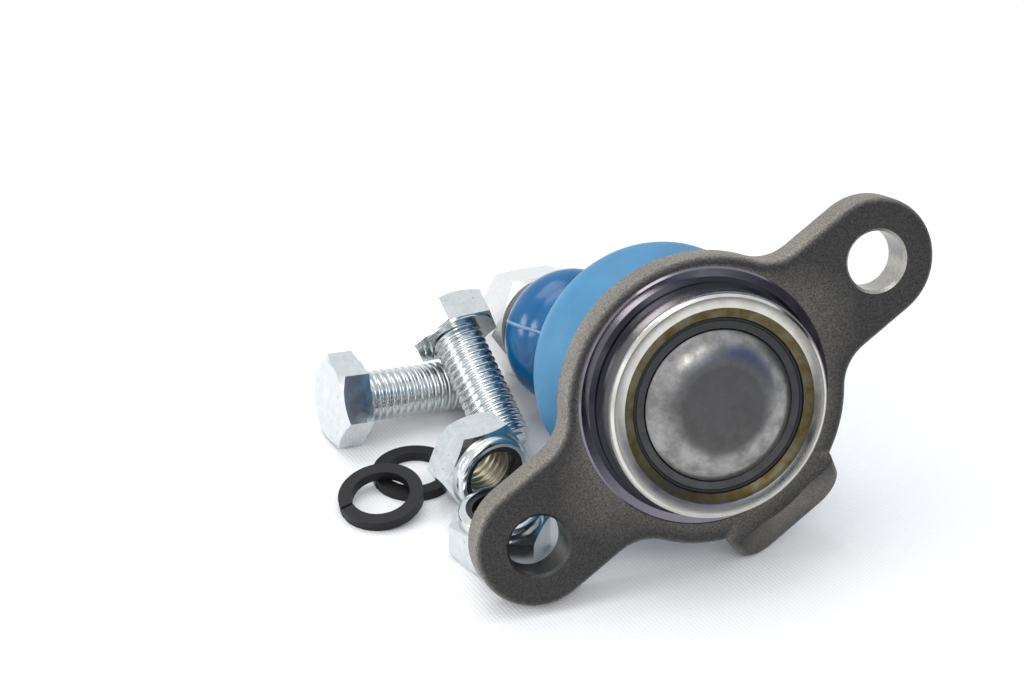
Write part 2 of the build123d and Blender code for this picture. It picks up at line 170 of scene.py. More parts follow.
def mark(mesh, name, values):
    """A number on every vertex, for the materials to read."""
    layer = mesh.attributes.new(name, "FLOAT", "POINT")
    layer.data.foreach_set("value", np.array(values, np.float32))


def merged_copy(name, node, keys, sharp, slot_of=None):
    """A CAD node's mesh with its triangles joined, smooth shading and the given finishes."""
    mesh = frame["nodes"][node].data.copy()
    mesh.name = name
    bm = bmesh.new()
    bm.from_mesh(mesh)
    bmesh.ops.remove_doubles(bm, verts=bm.verts, dist=MERGE)
    bmesh.ops.dissolve_degenerate(bm, edges=bm.edges, dist=1e-7)
    bm.to_mesh(mesh)
    bm.free()
    for layer in list(mesh.uv_layers):
        mesh.uv_layers.remove(layer)
    mesh.materials.clear()
    for key in keys:
        mesh.materials.append(finish(key))
    if slot_of:
        centres = read(mesh.polygons, "center") / MM
        slots = slot_of(centres, read(mesh.polygons, "normal"))
        mesh.polygons.foreach_set("material_index", slots.astype(np.int32))
    else:
        mesh.polygons.foreach_set("material_index", np.zeros(len(mesh.polygons), np.int32))
    if "custom_normal" in mesh.attributes:
        mesh.attributes.remove(mesh.attributes["custom_normal"])
    smooth(mesh, sharp)
    return link(name, mesh)


def in_place(points, place):
    """Points in millimetres, taken to a placement's own axes."""
    m = np.array(place.inverted())
    return points @ m[:3, :3].T + m[:3, 3] / MM


def dress(node, key):
    """A hidden CAD node keeps its mesh and takes its finish."""
    mesh = frame["nodes"][node].data
    mesh.materials.clear()
    mesh.materials.append(finish(key))


# ---- materials --------------------------------------------------------------------------
class Finish:
    """A material's node tree, with short ways to add to it."""

    def __init__(self, name, **sockets):
        self.material = bpy.data.materials.new(name)
        self.material.use_nodes = True
        self.tree = self.material.node_tree
        self.shader = self.tree.nodes["Principled BSDF"]
        self.where = self.node("ShaderNodeTexCoord").outputs["Object"]
        self.set(**sockets)

    def plug(self, socket, value):
        """A socket takes another node's output, or a constant."""
        if isinstance(value, bpy.types.NodeSocket):
            self.tree.links.new(value, socket)
        elif socket.type == "RGBA" and isinstance(value, (int, float)):
            socket.default_value = (value, value, value, 1)
        elif socket.type == "RGBA":
            socket.default_value = tuple(value)
        else:
            socket.default_value = value

    def node(self, kind, links=None, **settings):
        """A node with its settings; links give its inputs values or other nodes' outputs."""
        n = self.tree.nodes.new(kind)
        for key, value in settings.items():
            setattr(n, key, value)
        for key, value in (links or {}).items():
            self.plug(n.inputs[key], value)
        return n

    def turned_to(self, place):
        """Object coordinates turned so that Z runs along the piece's own axis."""
        turn = place.to_3x3().inverted().to_euler()
        return self.node(
            "ShaderNodeMapping", {"Vector": self.where, "Rotation": turn}
        ).outputs["Vector"]

    def noise(self, size, detail=4.0, rough=0.55, vector=None):
        """Noise with features about this many millimetres wide."""
        links = {"Vector": vector or self.where, "Scale": 1 / (size * MM),
                 "Detail": detail, "Roughness": rough}
        return self.node("ShaderNodeTexNoise", links).outputs["Fac"]

    def span(self, value, low, high, to_low=0.0, to_high=1.0):
        """A value stretched from one range to another and clamped."""
        links = {"Value": value, "From Min": low, "From Max": high,
                 "To Min": to_low, "To Max": to_high}
        return self.node("ShaderNodeMapRange", links).outputs["Result"]

    def mix(self, share, a, b):
        """Two colours mixed, none of the second at 0 and all of it at 1."""
        n = self.node("ShaderNodeMix", data_type="RGBA")
        for i, value in ((0, share), (6, a), (7, b)):
            self.plug(n.inputs[i], value)
        return n.outputs[2]

    def maths(self, operation, a, b=0.0):
        """One sum on one or two numbers."""
        return self.node("ShaderNodeMath", {0: a, 1: b}, operation=operation).outputs[0]

    def bump(self, height, depth, after=None):
        """Relief this many millimetres deep, laid over another one."""
        links = {"Height": height, "Distance": depth * MM}
        if after is not None:
            links["Normal"] = after
        return self.node("ShaderNodeBump", links).outputs["Normal"]

    def from_axis(self):
        """Distance from the housing's axis and distance along it."""
        parts = self.node("ShaderNodeSeparateXYZ", {"Vector": self.turned_to(LAID)}).outputs
        square = self.maths("ADD", self.maths("MULTIPLY", parts["X"], parts["X"]),
                            self.maths("MULTIPLY", parts["Y"], parts["Y"]))
        return self.maths("SQRT", square), parts["Z"]

    def attribute(self, name):
        """A number that the mesh carries on its vertices."""
        return self.node("ShaderNodeAttribute", attribute_name=name).outputs["Fac"]

    def set(self, **sockets):
        """The shader's sockets by name, underscores for spaces; gives the material."""
        for key, value in sockets.items():
            self.plug(self.shader.inputs[key.replace("_", " ")], value)
        return self.material


TOOL_STEP = 0.16  # millimetres between the lines that the turning tool leaves


def scaled(rgba, by):
    """A colour made lighter or darker."""
    return tuple(min(1.0, c * by) for c in rgba[:3]) + (1.0,)


def blasted_forging(name="shot_blasted_forging", depth=1.0):
    """Hot-forged steel, shot-blasted and lightly oiled: dull salt-and-pepper grain.

    The grit leaves dents of about 0.4 mm and the scale patches of about 1.3 mm. Side walls are
    lighter, partly where the trimming die has scraped them and partly as a painted highlight
    for the way they face the lamps.
    """
    m = Finish(name, Metallic=0.35)
    grain = m.noise(0.38, 3, 0.75)
    pits = m.noise(1.3, 3, 0.6)
    cloud = m.span(m.noise(17, 3), 0.35, 0.65)
    # depth below 1 darkens the forging's dark tone; the lug's copy uses it for painted shade
    dark, light = scaled(look().forging_dark, depth), look().forging_light
    tone = m.span(grain, 0.36, 0.64)
    flat = m.mix(tone, scaled(dark, 0.35), scaled(dark, 1.8))
    wall = m.mix(tone, scaled(light, 0.5), scaled(light, 1.5))
    # side walls take the lighter tone: partly the die's scraping, partly a painted highlight
    base = m.mix(m.maths("MULTIPLY", m.attribute("side_wall"), 0.85), flat, wall)
    base = m.mix(m.maths("MULTIPLY", cloud, 0.28), base, scaled(dark, 0.6))
    relief = m.bump(pits, 0.10, m.bump(grain, 0.07))
    return m.set(Base_Color=base, Roughness=m.span(grain, 0.3, 0.7, 0.62, 0.45), Normal=relief)


def turned_steel(name, tone, rough, depth=0.003, stain=0.0):
    """Steel turned on a lathe: mirror-like across, with fine tool lines round it and stains.

    The lines are 0.16 mm apart, a fine feed drawn about twice as coarse so that it shows.
    """
    m = Finish(name, Metallic=1.0)
    across, along = m.from_axis()
    track = m.maths("MULTIPLY", m.maths("ADD", across, along), 1 / (TOOL_STEP * MM))
    lines = m.node("ShaderNodeTexNoise", {"W": track, "Scale": 1.0, "Detail": 2.0},
                   noise_dimensions="1D").outputs["Fac"]
    cloud = m.noise(3.5, 5, 0.6)
    brown = scaled(tuple(a * b for a, b in zip(tone, linear("#b09a68"))), 1.6)
    base = m.mix(m.maths("MULTIPLY", m.span(cloud, 0.42, 0.62), stain), tone, brown)
    return m.set(Base_Color=base, Normal=m.bump(lines, depth),
                 Roughness=m.span(cloud, 0.3, 0.7, rough * 0.8, rough * 1.25))


def pressed_cover():
    """Deep-drawn steel sheet: satin and stained, its shoulder brightened as a painted reflection over a darker
    flat crown, its rim darkened as painted shade under the lip.
    """
    m = Finish("pressed_cover_steel", Metallic=1.0)
    across, _ = m.from_axis()
    shoulder = m.span(across, 8.4 * MM, 10.5 * MM)
    cloud = m.span(m.noise(3.2, 6, 0.7), 0.4, 0.62)
    specks = m.noise(0.35, 2)
    tone = look().cover
    # painted reflection: the shoulder is drawn 1.7 times as bright as the tone, the crown darker
    base = m.mix(shoulder, scaled(tone, 0.75), scaled(tone, 1.7))
    base = m.mix(m.maths("MULTIPLY", cloud, 0.55), base, scaled(tone, 0.5))
    # painted shade: the cover turns dark at its rim, in the gap under the lip
    rim_shade = m.span(across, 15.3 * MM, 15.7 * MM, 0, 0.8)
    base = m.mix(rim_shade, base, linear("#48484a"))
    rough = m.maths("ADD", m.span(shoulder, 0, 1, 0.42, 0.3), m.span(cloud, 0, 1, 0, 0.08))
    return m.set(Base_Color=base, Roughness=rough, Normal=m.bump(specks, 0.012))


def blue_boot():
    """Injection-moulded polyurethane: glossy deep blue at the neck, waxy bloom on the bell, and a painted
    highlight along the bead and mould lines.
    """
    m = Finish("blue_boot_rubber", IOR=1.5)
    haze = m.attribute("bell")
    bead = m.attribute("bead")
    cloud = m.span(m.noise(7, 4), 0.35, 0.65)
    scratch = m.noise(0.5, 3, 0.6)
    deep, pale = look().boot_deep, look().boot_pale
    glossy = m.mix(cloud, scaled(deep, 0.95), scaled(deep, 1.05))
    bloom = m.mix(cloud, scaled(pale, 0.92), scaled(pale, 1.06))
    base = m.mix(haze, glossy, bloom)
    # painted highlight: the bead and the mould lines are drawn pale blue-white for the light that the raised
    # ridges catch
    base = m.mix(m.maths("MULTIPLY", bead, 0.6), base, linear("#b9d2e2"))
    return m.set(
        Base_Color=base, Roughness=m.span(haze, 0, 1, 0.2, 0.46),
        Subsurface_Weight=0.1, Subsurface_Scale=0.002, Subsurface_Radius=(0.4, 0.8, 1.0),
        Normal=m.bump(scratch, 0.012, m.bump(cloud, 0.04)),
    )


def bright_zinc():
    """Zinc plate, clear-passivated, on cold-headed steel: bright, soft mottle and dark specks."""
    m = Finish("bright_zinc_plate", Metallic=1.0)
    cloud = m.span(m.noise(2.4, 4), 0.35, 0.65)
    fine = m.noise(0.3, 2)
    tone = look().zinc
    specks = m.maths("MULTIPLY", m.span(m.noise(1.1, 5, 0.7), 0.6, 0.68), 0.5)
    base = m.mix(specks, m.mix(cloud, scaled(tone, 0.93), scaled(tone, 1.04)), scaled(tone, 0.25))
    return m.set(Base_Color=base,
                 Roughness=m.span(cloud, 0, 1, 0.15, 0.22),
                 Normal=m.bump(fine, 0.005, m.bump(cloud, 0.006)))


def plain(name, tone, rough, metal=0.0, speck=0.15):
    """A plain moulded, drawn, oxided or ground skin with a faint speckle 0.6 mm wide."""
    m = Finish(name, Metallic=metal, Roughness=rough)
    fine = m.span(m.noise(0.6, 3), 0.35, 0.65)
    return m.set(Base_Color=m.mix(fine, scaled(tone, 1 - speck), scaled(tone, 1 + speck)),
                 Normal=m.bump(fine, 0.008))


# what each finish is made from, and what it gives the eye
MAKERS = {
    "forging": blasted_forging,
    # the same forging on the folded lug, drawn darker as painted shade where it faces away from the lamps
    "lug": lambda: blasted_forging("shaded_forging", 0.55),
    # turned: a mirror-like ring, a bright boss, its foot drawn dark as painted shade in the groove, and a lip
    # browned by handling
    "ring": lambda: turned_steel("turned_ring_steel", look().ring, 0.11, 0.0015),
    "boss": lambda: turned_steel("turned_boss_steel", look().boss, 0.2, 0.004, 0.22),
    "foot": lambda: turned_steel("turned_foot_shaded_steel", linear("#34343a"), 0.2, 0.002),
    "lip": lambda: turned_steel("stained_lip_steel", look().lip, 0.38, 0.008, 0.9),
    # drilled and bored: one hole's wall pale, the other's drawn near black as painted shade inside it, and the
    # bore nearly black
    "shaded_hole": lambda: plain("shaded_hole_steel", linear("#4a4946"), 0.35, 0.9),
    "bore": lambda: plain("dark_bore_steel", linear("#33322f"), 0.4, 0.9),
    "drilled": lambda: plain("drilled_hole_steel", linear("#aca8a1"), 0.32, 1.0),
    "cover": pressed_cover,
    # moulded nitrile rubber: black and dull
    "seal": lambda: plain("seal_rubber", linear("#0c0c0d"), 0.6),
    "boot": blue_boot,
    "zinc": bright_zinc,
    # thick matt zinc on the stud's nut, then ground and drawn steel: grey with a sheen
    "stud nut": lambda: plain("pale_zinc_plate", linear("#e3e3e1"), 0.34, 0.75, 0.05),
    "stud": lambda: plain("ground_stud_steel", linear("#a8a8a6"), 0.24, 1.0, 0.05),
    "wire": lambda: plain("drawn_wire_steel", linear("#77797b"), 0.28, 1.0, 0.05),
    # moulded acetal, cream and waxy, and moulded nylon, nearly black
    "seat": lambda: plain("acetal_seat_plastic", linear("#d9d3c0"), 0.45, 0.0, 0.04),
    "nylon": lambda: plain("nylon_ring_plastic", linear("#10131c"), 0.3, 0.0, 0.1),
    # a tapped bore, straw-coloured by its oil, and black oxide over spring steel
    "thread": lambda: plain("threaded_bore_steel", linear("#b9b39c"), 0.3, 1.0, 0.06),
    "oxide": lambda: plain("black_oxide_steel", look().black, 0.5, 0.3, 0.35),
}
_made = {}


def finish(key):
    """Each finish is made once, when the first piece asks for it."""
    if key not in _made:
        _made[key] = MAKERS[key]()
    return _made[key]


# ---- housing ----------------------------------------------------------------------------
HOUSING_KEYS = ("forging", "ring", "boss", "lip", "bore", "drilled", "foot", "shaded_hole", "lug")
LUG_CREASE = 30.6
HOLE_REACH = 6.95
# finish, then the radius and the height between which it lies, in millimetres
TURNED_BANDS = (
    ("ring", 24.98, 27.05, 7.95, FREE),
    # the foot band is drawn dark: painted shade in the groove round the boss
    ("foot", 23.35, 24.98, 8.45, FREE),
    ("boss", 20.25, 23.35, 8.45, FREE),
    ("lip", 18.25, 20.25, 15.85, FREE),
    ("bore", -FREE, 18.25, -FREE, FREE),
    ("bore", -FREE, 19.4, 0, 15.8),
    ("bore", 16, 22.1, -FREE, -0.05),
)


def housing_slots(points, normals):
    """Which finish each face of the housing takes, by where it lies."""
    p = in_place(points, LAID)
    r, z = np.hypot(p[:, 0], p[:, 1]), p[:, 2]
    slots = np.zeros(len(p), int)
    holes = MOUNTS["flange_holes"]
    middle = np.array(LAID.inverted() @ Vector(holes["pos_m"])) / MM
    # the hole on the minus side takes the near-black wall as painted shade; the other keeps the pale drilled
    # finish
    for side, key in ((-1, "shaded_hole"), (1, "drilled")):
        x = middle[0] + side * holes["dims"]["pcd_mm"] / 2
        near = np.hypot(p[:, 0] - x, p[:, 1] - middle[1]) < HOLE_REACH
        slots[near] = HOUSING_KEYS.index(key)
    # painted shade: the lug's faces beyond the crease that turn along the axis take the darker forging
    front = normals @ np.array(AXIS) > 0.3
    slots[(p[:, 1] < -LUG_CREASE) & front] = HOUSING_KEYS.index("lug")
    for key, inner, outer, low, high in TURNED_BANDS:
        slots[(r > inner) & (r < outer) & (z > low) & (z < high)] = HOUSING_KEYS.index(key)
    return slots


class BALLJOINT_OT_housing(bpy.types.Operator):
    """Forged housing with its turned ring, boss, lip and drilled holes"""

    bl_idname = "balljoint.housing"
    bl_label = "Forged housing"

    def execute(self, context):
        piece = merged_copy("forged_housing", "housing", HOUSING_KEYS, 30, housing_slots)
        # how far each vertex turns side-on to the axis: the share of scraping and painted highlight
        facing = np.abs(read(piece.data.vertices, "normal") @ np.array(AXIS))
        mark(piece.data, "side_wall", np.clip((0.94 - facing) / 0.5, 0, 1))
        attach(piece, "housing_body")
        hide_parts("housing")
        return {"FINISHED"}


class BALLJOINT_OT_cover(bpy.types.Operator):
    """Pressed cover under the rolled lip, with the seal, spring, pad and seat behind it"""

    bl_idname = "balljoint.cover"
    bl_label = "Cover and bearing"

    def execute(self, context):
        piece = merged_copy("pressed_cover", "cover_plate", ("cover",), 35)
        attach(piece, "housing_body")
        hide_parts("cover_plate")
        seal = merged_copy("cover_seal_ring", "cover_seal", ("seal",), 60)
        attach(seal, "housing_body")
        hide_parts("cover_seal")
        dress("preload_spring", "wire")
        dress("pressure_pad", "seat")
        dress("bearing_seat", "seat")
        return {"FINISHED"}


# ---- boot -------------------------------------------------------------------------------
BOOT_WALL, BOOT_BORE, BOOT_END = 1.6, 10.3, 65.4
BEAD_AT, BEAD_WIDTH = 27.0, 0.8
SEAM_START, SEAM_WIDTH = 47.0, 0.022  # millimetres behind the ball, radians to each side
SEAM_STEPS = (-0.045, -0.028, -0.016, 0, 0.016, 0.028, 0.045)
SEAM_TURNS = (math.radians(158), math.radians(338))
LEAN_START, LEAN_END = 9.0, 42.0
HAZE_START, HAZE_END = 45.5, 39.5


def ease(t):
    """A share from 0 to 1 that starts and stops gently."""
    t = min(max(t, 0), 1)
    return t * t * (3 - 2 * t)


def boot_outside():
    """Outside of the boot as (distance behind the ball, radius) in millimetres."""
    line = [(4.9, 24.55), (6.0, 24.62), (8.5, 24.54)]
    line += [(8.5 + 10.0 * t, 24.54 + 2.93 * ease(t)) for t in np.linspace(0, 1, 12)[1:]]
    line += [(s, 18.0 + math.sqrt(90.25 - (s - 18.5) ** 2)) for s in np.linspace(19.2, 26.9, 18)]
    start, wide = line[-1]
    for t in np.linspace(0, 1, 26)[1:]:
        fall = t - 0.06 * math.sin(2 * math.pi * t)
        line.append((start + t * 19.6, wide + fall * (11.9 - wide)))
    line += [(46.5 + 5 * t, 11.9 + 1.7 * t * t) for t in np.linspace(0, 1, 8)[1:]]
    line += [(s, 8.5 + math.sqrt(56.25 - (s - 57) ** 2)) for s in np.linspace(51.7, 62.2, 26)]
    return line + [(62.7, 12.4), (63.2, 11.95), (64.0, 11.87), (65.1, 11.87), (BOOT_END, 11.6)]


def boot_section(bead):
    """The boot's closed section as (distance, radius, on the outside, share of bead)."""
    lip = ((2.75, 20.45), (2.75, 21.9), (2.85, 22.0), (4.8, 22.0), (4.9, 22.1), (4.9, 24.35))
    section = [(s, r, True, 0) for s, r in lip]
    outside = []
    for s, r in boot_outside():
        share = math.exp(-2.2 * ((s - BEAD_AT) / BEAD_WIDTH) ** 2)
        outside.append((s, r + 0.75 * bead * share, True, share))
    inside = [(s, max(r - BOOT_WALL, BOOT_BORE)) for s, r, _, _ in outside[::-1]]
    inside = [(BOOT_END, BOOT_BORE)] + [p for p in inside if p[0] > 5.7]
    inside += [(5.7, 22.9), (5.7, 20.45)]
    return section + outside + [(s, r, False, 0) for s, r in inside]


def boot_turns(count):
    """Even steps round the boot, with closer ones over each mould line."""
    turns = list(np.linspace(0, 2 * math.pi, count, endpoint=False))
    for at in SEAM_TURNS:
        turns = [a for a in turns if abs(a - at) > 0.05] + [at + d for d in SEAM_STEPS]
    return sorted(turns)


class BALLJOINT_OT_boot(bpy.types.Operator):
    """Moulded boot from the housing's collar to the stud, with its bead and mould line"""

    bl_idname = "balljoint.boot"
    bl_label = "Dust boot"

    def execute(self, context):
        section = boot_section(look().boot_bead / MM)
        angles = boot_turns(look().boot_segments)
        verts, faces, bell, bead = [], [], [], []
        upright = UPRIGHT.to_3x3()
        for s, r, out, share in section:
            leaning = min(max((s - LEAN_START) / (LEAN_END - LEAN_START), 0), 1)
            turn = upright @ Matrix.Rotation(leaning * LEAN, 3, "Y")
            for a in angles:
                lift = 0
                if out and s > SEAM_START:
                    off = min(abs(a - at) for at in SEAM_TURNS)
                    lift = look().boot_seam / MM * max(0, 1 - off / SEAM_WIDTH)
                reach = r + lift
                verts.append(turn @ Vector((reach * math.cos(a), reach * math.sin(a), -s)) * MM)
                bell.append(ease((HAZE_START - s) / (HAZE_START - HAZE_END)))
                # share of the painted highlight: the bead's profile, and 0.7 on the mould lines
                bead.append(max(share, 0.7 if lift > 0 else 0))
        n = len(angles)
        for i in range(len(section)):
            j = (i + 1) % len(section)
            for k in range(n):
                m = (k + 1) % n
                faces.append((i * n + k, i * n + m, j * n + m, j * n + k))
        mesh = bpy.data.meshes.new("moulded_boot")
        mesh.from_pydata(verts, [], faces)
        mesh.materials.append(finish("boot"))
        mark(mesh, "bell", bell)
        mark(mesh, "bead", bead)
        bm = bmesh.new()
        bm.from_mesh(mesh)
        bmesh.ops.remove_doubles(bm, verts=bm.verts, dist=1e-6)
        bmesh.ops.recalc_face_normals(bm, faces=bm.faces)
        bm.to_mesh(mesh)
        bm.free()
        smooth(mesh, 40)
        piece = link("moulded_boot", mesh)
        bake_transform(piece)
        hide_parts("dust_boot")
        for name, node, body in (("clamp_ring_wire", "boot_clamp_ring", "housing_body"),
                                 ("neck_ring_wire", "neck_ring", "neck")):
            ring = merged_copy(name, node, ("wire",), 60)
            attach(ring, body)
            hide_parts(node)
        dress("neck_sleeve", "seat")
        return {"FINISHED"}


# ---- threads ----------------------------------------------------------------------------
def thread_tree():
    """Geometry nodes that roll a sheet into a helical thread on +Z, its ends closed.

    The first and the last two rows lie at the core radius: 0 closes a bolt's ends, and a bore's
    core radius closes its skin from behind.
    """
    tree = bpy.data.node_groups.new("helical_thread", "GeometryNodeTree")
    face = tree.interface
    face.new_socket("Geometry", in_out="OUTPUT", socket_type="NodeSocketGeometry")
    for key, kind, value in (
        ("Crest radius", "NodeSocketFloat", 0.006), ("Root radius", "NodeSocketFloat", 0.005),
        ("Core radius", "NodeSocketFloat", 0.0), ("Pitch", "NodeSocketFloat", 0.00175),
        ("Length", "NodeSocketFloat", 0.03), ("Chamfer", "NodeSocketFloat", 0.0),
        ("Steps", "NodeSocketInt", 64), ("Rows", "NodeSocketInt", 200),
    ):
        face.new_socket(key, in_out="INPUT", socket_type=kind).default_value = value
    face.new_socket("Material", in_out="INPUT", socket_type="NodeSocketMaterial")
    given = tree.nodes.new("NodeGroupInput").outputs

    def add(kind, links=None, **settings):
        """A node with its settings; links give its inputs values or other nodes' outputs."""
        n = tree.nodes.new(kind)
        for key, value in settings.items():
            setattr(n, key, value)
        for key, value in (links or {}).items():
            if isinstance(value, bpy.types.NodeSocket):
                tree.links.new(value, n.inputs[key])
            else:
                n.inputs[key].default_value = value
        return n

    def sum_of(operation, a, b=0.0):
        """One sum on one or two numbers."""
        return add("ShaderNodeMath", {0: a, 1: b}, operation=operation).outputs[0]

    sheet = add("GeometryNodeMeshGrid", {
        "Size X": 1.0, "Size Y": 1.0,
        "Vertices X": sum_of("ADD", given["Steps"], 1.0), "Vertices Y": given["Rows"],
    }).outputs["Mesh"]
    spot = add("ShaderNodeSeparateXYZ",
               {0: add("GeometryNodeInputPosition").outputs[0]}).outputs
    around = sum_of("ADD", spot["X"], 0.5)
    last = sum_of("SUBTRACT", given["Rows"], 1.0)
    row = sum_of("ROUND", sum_of("MULTIPLY", sum_of("ADD", spot["Y"], 0.5), last))
    share = add("ShaderNodeMapRange", {
        "Value": row, "From Min": 1.0, "From Max": sum_of("SUBTRACT", last, 2.0),
    }).outputs["Result"]
    height = sum_of("MULTIPLY", share, given["Length"])
    turns = sum_of("DIVIDE", height, given["Pitch"])
    wave = sum_of("PINGPONG", sum_of("SUBTRACT", turns, around), 0.5)
    shape = add("ShaderNodeMapRange", {"Value": wave, "From Min": 0.06, "From Max": 0.42},
                interpolation_type="SMOOTHSTEP").outputs["Result"]
    depth = sum_of("SUBTRACT", given["Crest radius"], given["Root radius"])
    radius = sum_of("ADD", given["Root radius"], sum_of("MULTIPLY", depth, shape))
    limit = sum_of("ADD", sum_of("SUBTRACT", given["Crest radius"], given["Chamfer"]), height)
    bevelled = sum_of("MINIMUM", radius, limit)
    chamfered = sum_of("GREATER_THAN", given["Chamfer"], 0.0)
    body = add("ShaderNodeMix", {0: chamfered, 2: radius, 3: bevelled}).outputs[0]
    inside = sum_of("MULTIPLY", sum_of("GREATER_THAN", row, 0.5),
                    sum_of("LESS_THAN", row, sum_of("SUBTRACT", last, 1.5)))
    final = add("ShaderNodeMix", {0: inside, 2: given["Core radius"], 3: body}).outputs[0]
    is_last = sum_of("GREATER_THAN", row, sum_of("SUBTRACT", last, 0.5))
    level = sum_of("MULTIPLY", height, sum_of("SUBTRACT", 1.0, is_last))
    angle = sum_of("MULTIPLY", around, 2 * math.pi)
    place = add("ShaderNodeCombineXYZ", {
        "X": sum_of("MULTIPLY", final, sum_of("COSINE", angle)),
        "Y": sum_of("MULTIPLY", final, sum_of("SINE", angle)), "Z": level,
    }).outputs[0]
    rolled = add("GeometryNodeSetPosition", {"Geometry": sheet, "Position": place})
    joined = add("GeometryNodeMergeByDistance",
                 {"Geometry": rolled.outputs[0], "Distance": 1e-6})
    real = add("GeometryNodeRealizeInstances", {0: joined.outputs[0]})
    skin = add("GeometryNodeSetMaterial", {"Geometry": real.outputs[0],
                                           "Material": given["Material"]})
    tree.links.new(skin.outputs[0], tree.nodes.new("NodeGroupOutput").inputs[0])
    return tree


ROWS_PER_PITCH = 12


def threaded(name, crest, root, core, pitch, length_mm, chamfer, key, place, per_turn=48):
    """One thread as a plain mesh in its place; sizes in millimetres, core for a bore's skin."""
    tree = bpy.data.node_groups.get("helical_thread") or thread_tree()
    piece = link(name, bpy.data.meshes.new(name))
    live = piece.modifiers.new("thread", "NODES")
    live.node_group = tree
    rows = int(length_mm / pitch * ROWS_PER_PITCH) + 4
    values = {"Crest radius": crest * MM, "Root radius": root * MM, "Core radius": core * MM,
              "Pitch": pitch * MM, "Length": length_mm * MM, "Chamfer": chamfer * MM,
              "Steps": per_turn, "Rows": rows, "Material": finish(key)}
    for item in tree.interface.items_tree:
        if item.in_out == "INPUT":
            live[item.identifier] = values[item.name]
    graph = bpy.context.evaluated_depsgraph_get()
    graph.update()
    mesh = bpy.data.meshes.new_from_object(piece.evaluated_get(graph))
    bpy.data.objects.remove(piece)
    mesh.transform(place)
    bm = bmesh.new()
    bm.from_mesh(mesh)
    bmesh.ops.remove_doubles(bm, verts=bm.verts, dist=1e-6)
    loose = [e for e in bm.edges if not e.link_faces]
    bmesh.ops.delete(bm, geom=loose, context="EDGES")
    bmesh.ops.recalc_face_normals(bm, faces=bm.faces)
    bm.to_mesh(mesh)
    bm.free()
    smooth(mesh, 60)
    return link(name, mesh)


def joined(name, parts):
    """Pieces made one mesh, their finishes kept."""
    mesh = bpy.data.meshes.new(name)
    bm = bmesh.new()
    materials = []
    for part in parts:
        start = len(bm.faces)
        bm.from_mesh(part.data)
        bm.faces.ensure_lookup_table()
        for f in bm.faces[start:]:
            own = part.data.materials[f.material_index]
            if own not in materials:
                materials.append(own)
            f.material_index = materials.index(own)
    bm.to_mesh(mesh)
    bm.free()
    for material in materials:
        mesh.materials.append(material)
    for part in parts:
        bpy.data.objects.remove(part)
    return link(name, mesh)


def without_shanks(name, node, key, places, level, reach):
    """A CAD node's copy without the plain round shank below a level on each placement."""
    piece = merged_copy(name, node, (key,), 30)
    bm = bmesh.new()
    bm.from_mesh(piece.data)
    gone = set()
    for place in places:
        back = place.inverted()
        for v in bm.verts:
            p = back @ v.co / MM
            if p.z < level and math.hypot(p.x, p.y) < reach:
                gone.add(v)
    bmesh.ops.delete(bm, geom=list(gone), context="VERTS")
    open_edges = [e for e in bm.edges if e.is_boundary]
    bmesh.ops.holes_fill(bm, edges=open_edges, sides=0)
    bmesh.ops.recalc_face_normals(bm, faces=bm.faces)
    bm.to_mesh(piece.data)
    bm.free()
    smooth(piece.data, 24)
    return piece


# ---- fixings ----------------------------------------------------------------------------
# millimetres, as in the part
BOLT_LENGTH, BOLT_RADIUS, BOLT_FACE, BOLT_CHAMFER = 30.0, 5.85, 0.4, 1.2
NUT_THREAD = 8.4
STUD_THREAD_START, STUD_THREAD_END, STUD_THREAD_RADIUS = 70.0, 86.0, 8.0


def spot(x, y, z, along, across):
    """Where a fixing lies: a point in millimetres, its axis and one of its corners."""
    return placed(Vector((x, y, z)) * MM, along, across)


BOLTS = (
    spot(-59.2707, 56.8904, -26.9976, (-0.979024, -0.160321, 0.12573), (-0.161604, 0.986856, 0)),
    spot(-34.4672, 60.4125, -16.6336, (-0.175572, 0.840417, 0.512712), (-0.978867, -0.204496, 0)),
)
NUTS = (
    spot(-40.6186, 28.461, -26.9222, (0.289032, -0.957319, 0), (0.957319, 0.289032, 0)),
    spot(-40.2, 4.0, -36.4222, (0, 0, 1), (0.994522, -0.104528, 0)),
)


class BALLJOINT_OT_stud(bpy.types.Operator):
    """Ground ball stud with its threaded end and hexagon nut"""

    bl_idname = "balljoint.stud"
    bl_label = "Stud and nut"

    def execute(self, context):
        plain_stud = without_shanks(
            "ground_stud", "ball_stud", "stud", [STUD], -STUD_THREAD_START - 0.05, 9
        )
        start = STUD @ Matrix.Translation((0, 0, -STUD_THREAD_END * MM))
        long = STUD_THREAD_END - STUD_THREAD_START + 0.1
        end = threaded("stud_thread", STUD_THREAD_RADIUS, STUD_THREAD_RADIUS - 0.85, 0,
                       1.5, long, BOLT_CHAMFER, "stud", start)
        stud = joined("ground_stud_threaded", [plain_stud, end])
        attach(stud, "stud")
        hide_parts("ball_stud")
        nut = merged_copy("stud_hexagon_nut", "stud_nut", ("stud nut",), 24)
        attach(nut, "stud")
        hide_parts("stud_nut")
        return {"FINISHED"}


